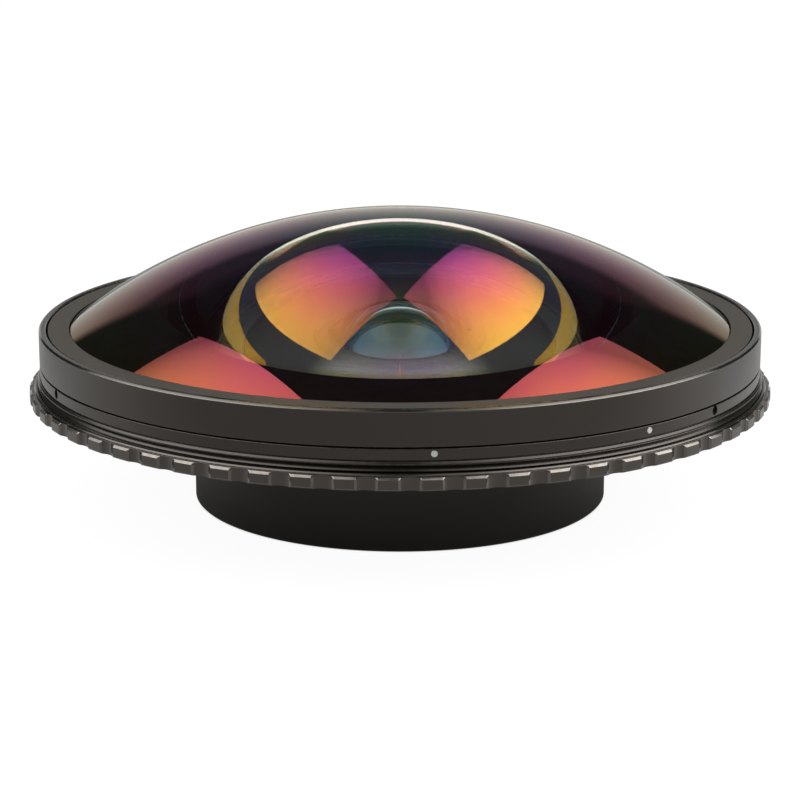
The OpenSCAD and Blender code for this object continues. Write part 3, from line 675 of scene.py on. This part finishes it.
LIP_R, LIP_Z, CLAMP_Z = 62.3, 33.42, 31.99
CLAMP_RING_R, CLAMP_RING_TOP_Z, CLAMP_RING_STEP_Z = 66.25, 33.6414, 32.8
CLAMP_THREAD_R, CLAMP_THREAD_Z, CLAMP_THREAD_TOP_Z = 66.5, 30.33, 32.4
turned("dome_retaining_ring", [
    (LIP_R, LIP_Z, 0.04), (GLASS_BORE_R, CLAMP_Z, 0.1), (GLASS_BORE_R, CLAMP_THREAD_Z, 0.1),
    (CLAMP_THREAD_R, CLAMP_THREAD_Z, 0.1), (CLAMP_THREAD_R, CLAMP_THREAD_TOP_Z, 0.1),
    (CLAMP_RING_R, CLAMP_RING_STEP_Z, 0.1), (CLAMP_RING_R, CLAMP_RING_TOP_Z, 0.12), (LIP_R, CLAMP_RING_TOP_Z, 0.06)],
    [matt_anodised], ["front_retaining_ring"])

# %% Lens cell and rear barrel
CELL_FOOT_Z, CELL_BORE_R, SKIRT_R, SKIRT_TOP_Z = 4.6, 25.1, 29.9, 5.9
CELL_R, CELL_TOP_Z, DECK_R, DECK_Z = 34.9, 14.13, 32.3, 16.23
DECK_IN_R, DECK_IN_Z, BEZEL_R, BEZEL_Z = 18.1, 15.74, 17.6, 16.24
NEST_R, NEST_Z, STOP_SEAT_R, STOP_SEAT_Z = 15.1, 12.59, 11.5, 11.69
SPACER_R, SPACER_Z, DOUBLET_SEAT_Z = 18.6, 10.42, 9.75
turned("inner_cell", [
    (SKIRT_R, CELL_FOOT_Z, 0.15), (SKIRT_R, SKIRT_TOP_Z, 0.1), (CELL_R, SKIRT_TOP_Z, 0.1),
    (CELL_R, CELL_TOP_Z, 0.15), (DECK_R, CELL_TOP_Z, 0.1), (DECK_R, DECK_Z, 0.2), (DECK_IN_R, DECK_IN_Z, 0.1),
    (BEZEL_R, BEZEL_Z, 0.1), (NEST_R, BEZEL_Z, 0.1), (NEST_R, NEST_Z, 0.05), (STOP_SEAT_R, NEST_Z, 0.1),
    (STOP_SEAT_R, STOP_SEAT_Z, 0.1), (SPACER_R, STOP_SEAT_Z, 0.1), (SPACER_R, SPACER_Z, 0.1),
    (CELL_BORE_R, DOUBLET_SEAT_Z, 0.1), (CELL_BORE_R, CELL_FOOT_Z, 0.15)],
    [baffle_black], ["lens_cell"])

MOUNT_ROOT_R, BARREL_CHAMFER, BARREL_TOP_Z = 36.05, 0.4, 14.93
TENON_R, TENON_TOP_Z = 37.6, 17.43
THROAT_R, THROAT_Z, CELL_WELL_R = 32.5, 14.43, 35.0
turned("rear_barrel_wall", [
    (MOUNT_ROOT_R + 0.1, 0, 0.1), (BARREL_R - BARREL_CHAMFER, 0, 0.12), (BARREL_R, BARREL_CHAMFER, 0.12),
    (BARREL_R, BARREL_TOP_Z, 0.25), (TENON_R, BARREL_TOP_Z, 0.1), (TENON_R, TENON_TOP_Z, 0.15),
    (THROAT_R, TENON_TOP_Z, 0.15), (THROAT_R, THROAT_Z, 0.1), (CELL_WELL_R, THROAT_Z, 0.1),
    (CELL_WELL_R, CELL_FOOT_Z, 0.1), (MOUNT_ROOT_R, CELL_FOOT_Z, 0.1), (MOUNT_ROOT_R, 0.3, 0.1)],
    [barrel_black], ["rear_barrel"])

# %% [markdown]
# ## Main body
# Below the seam the body's wall goes on, then steps in to the hood thread. The wall has three holes for set screws
# and two pockets for the white index dots. They aren't round about the axis, so they are cut with a boolean.

# %% Body with its holes
HUB_BORE_R, HUB_R, HUB_Z, HUB_TOP_Z = 37.7, 42.0, 15.23, 19.03
DISH_R, FLANGE_R, FLANGE_Z, FLANGE_TOP_Z = 60.0, 68.82, 20.43, 20.93
THREAD_ROOT_R, THREAD_CREST_R, THREAD_TOP_Z = 67.75, 68.4, 24.45
BEAD_Z, BEAD_EDGE_Z, BEAD_TOP_Z, BEAD_TOP_R = 24.5, 24.68, 24.98, 68.1
GROOVE_R, GROOVE_TOP_Z = 67.7, 25.18
WALL_Z, WALL_TOP_Z, WALL_BREAK, SOCKET_R = 25.25, 27.13, 0.06, 66.1
main_body = turned("main_body_wall", [
    (HUB_BORE_R, HUB_Z, 0.15), (HUB_R, HUB_Z, 0.4), (DISH_R, FLANGE_Z, 0.6), (FLANGE_R - 0.16, FLANGE_Z, 0.1),
    (FLANGE_R, FLANGE_Z + 0.17, 0.1), (FLANGE_R, FLANGE_TOP_Z, 0.1), (THREAD_ROOT_R, FLANGE_TOP_Z, 0.05),
    (THREAD_ROOT_R, THREAD_TOP_Z, 0.05), (THREAD_CREST_R, BEAD_Z, 0.05), (THREAD_CREST_R, BEAD_EDGE_Z, 0.05),
    (BEAD_TOP_R, BEAD_TOP_Z, 0.04), (GROOVE_R, BEAD_TOP_Z, 0.05), (GROOVE_R, GROOVE_TOP_Z, 0.05),
    (WALL_R - WALL_BREAK, GROOVE_TOP_Z, 0.04), (WALL_R, WALL_Z, 0.04), (WALL_R, WALL_TOP_Z - WALL_BREAK, 0.04),
    (WALL_R - WALL_BREAK, WALL_TOP_Z, 0.04), (SOCKET_R, WALL_TOP_Z, 0.05), (SOCKET_R, SPIGOT_Z, 0.1),
    (LEDGE_R, SPIGOT_Z, 0.3), (HUB_R, HUB_TOP_Z, 0.3), (HUB_BORE_R, HUB_TOP_Z, 0.15)],
    [dark_anodised], ["main_body"])

FRONT_TURN = -90
GRUB_TURN, GRUB_Z, GRUB_R = 54.5, 26.275, 0.8
DOT_TURNS, DOT_R, DOT_DEPTH = (4.8, 38.9), 0.6, 0.4
SCREW_COUNT, SCREW_STEP, SCREW_GAP, DOT_GAP = 3, 120.0, 0.05, 0.03
TOOL_IN_R, TOOL_OUT_R, TOOL_SIDES = 65.0, 70.0, 40


def radial_cutter(turn, z, radius, r_from, r_to):
    """A round tool that goes into the wall at an angle from the front."""
    bpy.ops.mesh.primitive_cylinder_add(vertices=TOOL_SIDES, radius=radius * MM, depth=(r_to - r_from) * MM)
    tool = bpy.context.object
    spin = Matrix.Rotation(math.radians(FRONT_TURN + turn), 4, "Z")
    lay = Matrix.Translation(((r_from + r_to) / 2 * MM, 0, z * MM)) @ Matrix.Rotation(math.pi / 2, 4, "Y")
    tool.data.transform(spin @ lay)
    return tool


def cut(piece, tools):
    """Cuts the tools out of a piece, leaves it a plain mesh and throws the tools away."""
    for tool in tools:
        boolean = piece.modifiers.new("cut", "BOOLEAN")
        boolean.operation, boolean.solver, boolean.object = "DIFFERENCE", "EXACT", tool
    graph = bpy.context.evaluated_depsgraph_get()
    cut_mesh = bpy.data.meshes.new_from_object(piece.evaluated_get(graph))
    piece.modifiers.clear()
    piece.data = cut_mesh
    for tool in tools:
        bpy.data.objects.remove(tool)
    print(piece.name, "after cutting:", len(cut_mesh.polygons), "faces")


holes = [radial_cutter(GRUB_TURN + SCREW_STEP * k, GRUB_Z, GRUB_R + SCREW_GAP, TOOL_IN_R, TOOL_OUT_R)
         for k in range(SCREW_COUNT)]
pockets = [radial_cutter(turn, GRUB_Z, DOT_R + DOT_GAP, WALL_R - DOT_DEPTH, TOOL_OUT_R) for turn in DOT_TURNS]
cut(main_body, holes + pockets)

# %% [markdown]
# ## What repeats round the axis
# The fluted ring, the set screws and the dots repeat one small shape about the axis. Geometry Nodes do that: the
# object's own mesh is one copy, and the tree sets it round the axis as often as asked, welds the copies
# together and gives them their material.

# %% Polar repeat tree
WELD = 0.000002
SHARP_ANGLE = 32


def geometry_tree(name, inputs):
    """A tree that takes a mesh and the named inputs and gives a mesh, and its inputs as sockets."""
    tree = bpy.data.node_groups.new(name, "GeometryNodeTree")
    for label, kind in {"Geometry": "Geometry", **inputs}.items():
        tree.interface.new_socket(label, in_out="INPUT", socket_type="NodeSocket" + kind)
    tree.interface.new_socket("Geometry", in_out="OUTPUT", socket_type="NodeSocketGeometry")
    return tree, put(tree, "NodeGroupInput").outputs


def give_out(tree, mesh, finish):
    """Puts a finish on the tree's mesh and ends the tree with it."""
    dressed = put(tree, "GeometryNodeSetMaterial", {0: mesh.outputs[0], "Material": finish})
    put(tree, "NodeGroupOutput", {0: dressed.outputs[0]})


def repeat_round_tree():
    tree, given = geometry_tree("repeat_round", {
        "Copies": "Int", "Step Angle": "Float", "Weld Distance": "Float", "Finish": "Material"})
    spots = put(tree, "GeometryNodeMeshLine", {"Count": given["Copies"], "Offset": (0, 0, 0)})
    index = put(tree, "GeometryNodeInputIndex").outputs[0]
    angle = times(tree, index, times(tree, given["Step Angle"], math.pi / 180))
    turn = put(tree, "CombineXYZ", {2: angle})
    copies = put(tree, "GeometryNodeInstanceOnPoints", {
        "Points": spots.outputs[0], "Instance": given["Geometry"], "Rotation": turn.outputs[0]})
    real = put(tree, "GeometryNodeRealizeInstances", {0: copies.outputs[0]})
    weld = put(tree, "GeometryNodeMergeByDistance", {
        "Geometry": real.outputs[0], "Distance": given["Weld Distance"]})
    give_out(tree, weld, given["Finish"])
    return tree


def grow(name, mesh, tree, values):
    """Runs a node tree on a mesh and returns the plain mesh that comes out."""
    seed = bpy.data.objects.new(name + "_seed", mesh)
    scene.collection.objects.link(seed)
    modifier = seed.modifiers.new("tree", "NODES")
    modifier.node_group = tree
    for item in tree.interface.items_tree:
        if item.in_out == "INPUT" and item.name in values:
            modifier[item.identifier] = values[item.name]
    graph = bpy.context.evaluated_depsgraph_get()
    grown = bpy.data.meshes.new_from_object(seed.evaluated_get(graph))
    grown.name = name
    bpy.data.objects.remove(seed)
    grown.shade_smooth()
    grown.set_sharp_from_angle(angle=math.radians(SHARP_ANGLE))
    return grown


repeat_round = repeat_round_tree()
print("tree:", repeat_round.name, [item.name for item in repeat_round.interface.items_tree])

# %% [markdown]
# ## Lock ring
# The ring is turned with its chamfers and a plain collar first, and the flutes are milled through afterwards. So a
# point's radius is the smaller of the turned outline and the mill's round floor, which leaves the chamfer on the
# lands only. One sixtieth of the ring is made by that rule, with its columns closer together where the flute begins.
# The "wear" value is worn dye and painted highlight together: it paints the lands' upper chamfers bright and the
# sides of the flutes a little lighter.

# %% One sixtieth of the ring
FLUTES, FLUTE_DEPTH, CUTTER_R, FLUTE_TURN = 60, 0.75, 3.0, 1.4
RING_TIP_R, RING_BORE_R, RING_Z, RING_H = 70.0, 68.48, 20.43, 2.7
COLLAR_R, COLLAR_H = 69.08, 0.4
COUNTERBORE_R, COUNTERBORE_Z = 68.9, 20.97
LAND_CHAMFER, RING_FOOT_CHAMFER, COLLAR_CHAMFER = 0.4, 0.24, 0.2
FLUTE_COLUMNS, LAND_COLUMNS = (0, 0.25, 0.5, 0.7, 0.82, 0.9, 0.96, 1.0, 1.03), (0.15, 0.5, 1.0)
FLANK_FROM, FLANK_WEAR_AND_HIGHLIGHT, CHAMFER_SLACK = 0.7, 0.6, 0.02
CUTTER_CENTRE = RING_TIP_R - FLUTE_DEPTH + CUTTER_R


def flute_floor(turn):
    """Radius of the milled flute at an angle from its middle, or a large number beside it."""
    inside = CUTTER_R ** 2 - (CUTTER_CENTRE * math.sin(turn)) ** 2
    if inside <= 0:
        return RING_TIP_R + 1
    return CUTTER_CENTRE * math.cos(turn) - math.sqrt(inside)


def ring_sector():
    top = RING_Z + RING_H
    land = top - COLLAR_H
    rows = soften([
        (COUNTERBORE_R, RING_Z, 0.05), (RING_TIP_R - RING_FOOT_CHAMFER, RING_Z, 0.06),
        (RING_TIP_R, RING_Z + RING_FOOT_CHAMFER, 0.06), (RING_TIP_R, land - LAND_CHAMFER, 0.06),
        (RING_TIP_R - LAND_CHAMFER, land, 0.06), (COLLAR_R, land, 0.05), (COLLAR_R, top - COLLAR_CHAMFER, 0.04),
        (COLLAR_R - COLLAR_CHAMFER, top, 0.04), (RING_BORE_R, top, 0.08), (RING_BORE_R, COUNTERBORE_Z, 0.05),
        (COUNTERBORE_R, COUNTERBORE_Z, 0.05)], True)
    half = math.pi / FLUTES
    edge = math.acos((RING_TIP_R ** 2 + CUTTER_CENTRE ** 2 - CUTTER_R ** 2) / (2 * RING_TIP_R * CUTTER_CENTRE))
    turns = [edge * share for share in FLUTE_COLUMNS]
    turns += [turns[-1] + (half - turns[-1]) * share for share in LAND_COLUMNS]
    turns = [-turn for turn in turns[:0:-1]] + turns
    maker = bmesh.new()
    wear = maker.verts.layers.float.new("wear")
    grid = []
    for turn in turns:
        floor = flute_floor(turn)
        # Wear and painted highlight: the flute's sides near its edges get the lighter, glossier bare finish.
        flank = FLANK_WEAR_AND_HIGHLIGHT if FLANK_FROM < abs(turn) / edge <= 1.0 else 0.0
        column = []
        for r, z, worn, _ in rows:
            vertex = maker.verts.new(polar(min(r, floor), turn + math.radians(FRONT_TURN + FLUTE_TURN), z))
            # The whole upper chamfer of each land is set fully worn, which is worn dye and also a painted highlight.
            on_chamfer = abs(r + z - (RING_TIP_R + land - LAND_CHAMFER)) < CHAMFER_SLACK
            turned_wear_and_highlight = 1.0 if on_chamfer else max(worn, 0.0)
            vertex[wear] = turned_wear_and_highlight if floor > r else flank
            column.append(vertex)
        grid.append(column)
    count = len(rows)
    for left, right in zip(grid, grid[1:]):
        for k in range(count):
            maker.faces.new((left[k], right[k], right[(k + 1) % count], left[(k + 1) % count]))
    mesh = bpy.data.meshes.new("ring_sector")
    maker.to_mesh(mesh)
    maker.free()
    return mesh


ring_mesh = grow("lock_ring_fluted", ring_sector(), repeat_round, {
    "Copies": FLUTES, "Step Angle": 360 / FLUTES, "Weld Distance": WELD, "Finish": ring_anodised})
place_piece("lock_ring_fluted", ring_mesh, ["lock_ring"], "lock_ring_body")

# %% [markdown]
# ## Set screws and dots
# Each set screw is a short black stud with a hex socket, sunk a little below the wall. The dots are flat white
# studs in their pockets. Three more set screws hold the rear barrel in the hub, under the body.

# %% Screws and dots
STUD_SIDES, STUD_ROUNDING = 36, 0.06
GRUB_IN_R, GRUB_SUNK, GRUB_SOCKET = 65.75, 0.4, (0.46, 0.9)
DOT_SUNK = 0.04
HUB_SCREW_Z, HUB_SCREW_R, HUB_SCREW_SOCKET = 16.33, 0.9, (0.5, 1.8)
HUB_SCREW_IN_R, HUB_SCREW_OUT_R = 37.35, 41.35
HUB_TOOL_IN_R, HUB_TOOL_OUT_R = 37.0, 52.0


def stud_mesh(radius, r_from, r_to, z, turn, socket=None):
    """A stud that lies along the radius, with a hex socket of (radius, depth) in its outer end if it has one."""
    maker = bmesh.new()
    steps = [2 * math.pi * k / STUD_SIDES for k in range(STUD_SIDES)]

    def loop(along, sizes):
        return [maker.verts.new((along, size * math.cos(a), size * math.sin(a))) for a, size in zip(steps, sizes)]

    loops = [loop(along, [size] * STUD_SIDES) for size, along in (
        (radius - STUD_ROUNDING, r_from), (radius, r_from + STUD_ROUNDING),
        (radius, r_to - STUD_ROUNDING), (radius - STUD_ROUNDING, r_to))]
    if socket:
        socket_r, depth = socket
        corners = [(a + math.pi / 6) % (math.pi / 3) - math.pi / 6 for a in steps]
        hexagon = [socket_r * math.cos(math.pi / 6) / math.cos(corner) for corner in corners]
        loops += [loop(along, hexagon) for along in (r_to, r_to - depth)]
    for low, high in zip(loops, loops[1:]):
        for k in range(STUD_SIDES):
            after = (k + 1) % STUD_SIDES
            maker.faces.new((low[k], low[after], high[after], high[k]))
    maker.faces.new(loops[0][::-1])
    maker.faces.new(loops[-1])
    bmesh.ops.recalc_face_normals(maker, faces=maker.faces)
    mesh = bpy.data.meshes.new("stud")
    maker.to_mesh(mesh)
    maker.free()
    spin = Matrix.Rotation(math.radians(FRONT_TURN + turn), 4, "Z") @ Matrix.Translation((0, 0, z * MM))
    mesh.transform(spin @ Matrix.Scale(MM, 4))
    return mesh


def stud_set(name, stud, copies, step, finish, node):
    """Repeats a stud round the axis and places the set."""
    mesh = grow(name, stud, repeat_round, {
        "Copies": copies, "Step Angle": step, "Weld Distance": 0.0, "Finish": finish})
    place_piece(name, mesh, [node])


grub = stud_mesh(GRUB_R, GRUB_IN_R, WALL_R - GRUB_SUNK, GRUB_Z, GRUB_TURN, GRUB_SOCKET)
stud_set("wall_set_screws", grub, SCREW_COUNT, SCREW_STEP, steel, "grub_screws")
dot = stud_mesh(DOT_R, WALL_R - DOT_DEPTH, WALL_R - DOT_SUNK, GRUB_Z, DOT_TURNS[0])
stud_set("white_dots", dot, len(DOT_TURNS), DOT_TURNS[1] - DOT_TURNS[0], dot_white, "index_dots")
hub_screw = stud_mesh(HUB_SCREW_R, HUB_SCREW_IN_R, HUB_SCREW_OUT_R, HUB_SCREW_Z, 0.0, HUB_SCREW_SOCKET)
stud_set("hub_set_screws", hub_screw, SCREW_COUNT, SCREW_STEP, steel, "barrel_screws")
hub_holes = [radial_cutter(SCREW_STEP * k, HUB_SCREW_Z, HUB_SCREW_R + SCREW_GAP, HUB_TOOL_IN_R, HUB_TOOL_OUT_R)
             for k in range(SCREW_COUNT)]
cut(main_body, hub_holes)

# %% [markdown]
# ## Screw threads
# A thread is one ridge that follows a helix, so a node tree sweeps a small diamond along a spiral: half of it lies
# in the wall and half stands proud as the ridge. The ridge thins out at both ends, as a cut thread does.

# %% Thread tree
RUN_OUT, THINNEST = 0.03, 0.05
HELIX_STEPS = 240
LENGTHS = ("Root Radius", "Pitch", "Start Height", "Ridge Height", "Half Width")


def thread_tree():
    numbers = {label: "Float" for label in LENGTHS + ("Turns",)}
    tree, given = geometry_tree("screw_thread", {**numbers, "Finish": "Material"})
    helix = put(tree, "GeometryNodeCurveSpiral", {
        "Resolution": HELIX_STEPS, "Rotations": given["Turns"], "Start Radius": given["Root Radius"],
        "End Radius": given["Root Radius"], "Height": times(tree, given["Pitch"], given["Turns"])})
    upright = put(tree, "GeometryNodeSetCurveNormal", {0: helix.outputs[0]}, mode="Z_UP")
    along = put(tree, "GeometryNodeSplineParameter").outputs["Factor"]
    thin = times(tree, span(tree, along, 0.0, RUN_OUT), span(tree, along, 1.0, 1.0 - RUN_OUT))
    full = math_node(tree, "MAXIMUM", thin, THINNEST)
    ridge = put(tree, "GeometryNodeSetCurveRadius", {0: upright.outputs[0], "Radius": full})
    diamond = put(tree, "GeometryNodeCurvePrimitiveCircle", {"Resolution": 4, "Radius": 1.0})
    shape = put(tree, "CombineXYZ", {0: given["Ridge Height"], 1: given["Half Width"], 2: 1.0})
    section = put(tree, "GeometryNodeTransform", {0: diamond.outputs[0], "Scale": shape.outputs[0]})
    sweep = put(tree, "GeometryNodeCurveToMesh", {0: ridge.outputs[0], 1: section.outputs[0], "Fill Caps": True})
    lift = put(tree, "CombineXYZ", {2: given["Start Height"]})
    moved = put(tree, "GeometryNodeTransform", {
        0: sweep.outputs[0], "Translation": lift.outputs[0], "Rotation": (0, 0, math.pi / 2)})
    real = put(tree, "GeometryNodeRealizeInstances", {0: moved.outputs[0]})
    give_out(tree, real, given["Finish"])
    return tree


def thread(name, lengths, turns, finish):
    """Grows a thread from its lengths in millimetres, in the order of LENGTHS, and places it."""
    values = {key: length * MM for key, length in zip(LENGTHS, lengths)}
    mesh = grow(name, bpy.data.meshes.new("empty_seed"), screw_thread, {**values, "Turns": turns, "Finish": finish})
    place_piece(name, mesh)


screw_thread = thread_tree()
HOOD_PITCH, HOOD_Z, HOOD_RIDGE, HOOD_TURNS = 0.97, 21.05, 0.48, 3.6
MOUNT_PITCH, MOUNT_Z, MOUNT_RIDGE, MOUNT_HALF_WIDTH, MOUNT_TURNS = 0.75, 0.5, 0.42, 0.3, 5.0
thread("hood_thread_ridge", (THREAD_CREST_R - HOOD_RIDGE, HOOD_PITCH, HOOD_Z, HOOD_RIDGE, HOOD_RIDGE),
       HOOD_TURNS, dark_anodised)
thread("mount_thread_ridge", (MOUNT_ROOT_R, MOUNT_PITCH, MOUNT_Z, MOUNT_RIDGE, MOUNT_HALF_WIDTH),
       MOUNT_TURNS, barrel_black)

# %% [markdown]
# ## Carried-over solids
# The seals, the shim, the stop, the spacer and the small rings have the right shape already, so they stay as they
# are and only get a better finish.

# %% Finishes of the other solids
kept_finishes = {
    "front_seal": rubber, "barrel_seal": rubber, "second_retaining_ring": baffle_black,
    "aperture_stop": baffle_black, "spacer_ring": baffle_black, "rear_retaining_ring": barrel_black,
    "cell_shim": brass, "cell_lock_ring": barrel_black}
for name, finish in kept_finishes.items():
    slots = nodes[name].data.materials
    slots.clear()
    slots.append(finish)
print("kept solids:", ", ".join(kept_finishes))
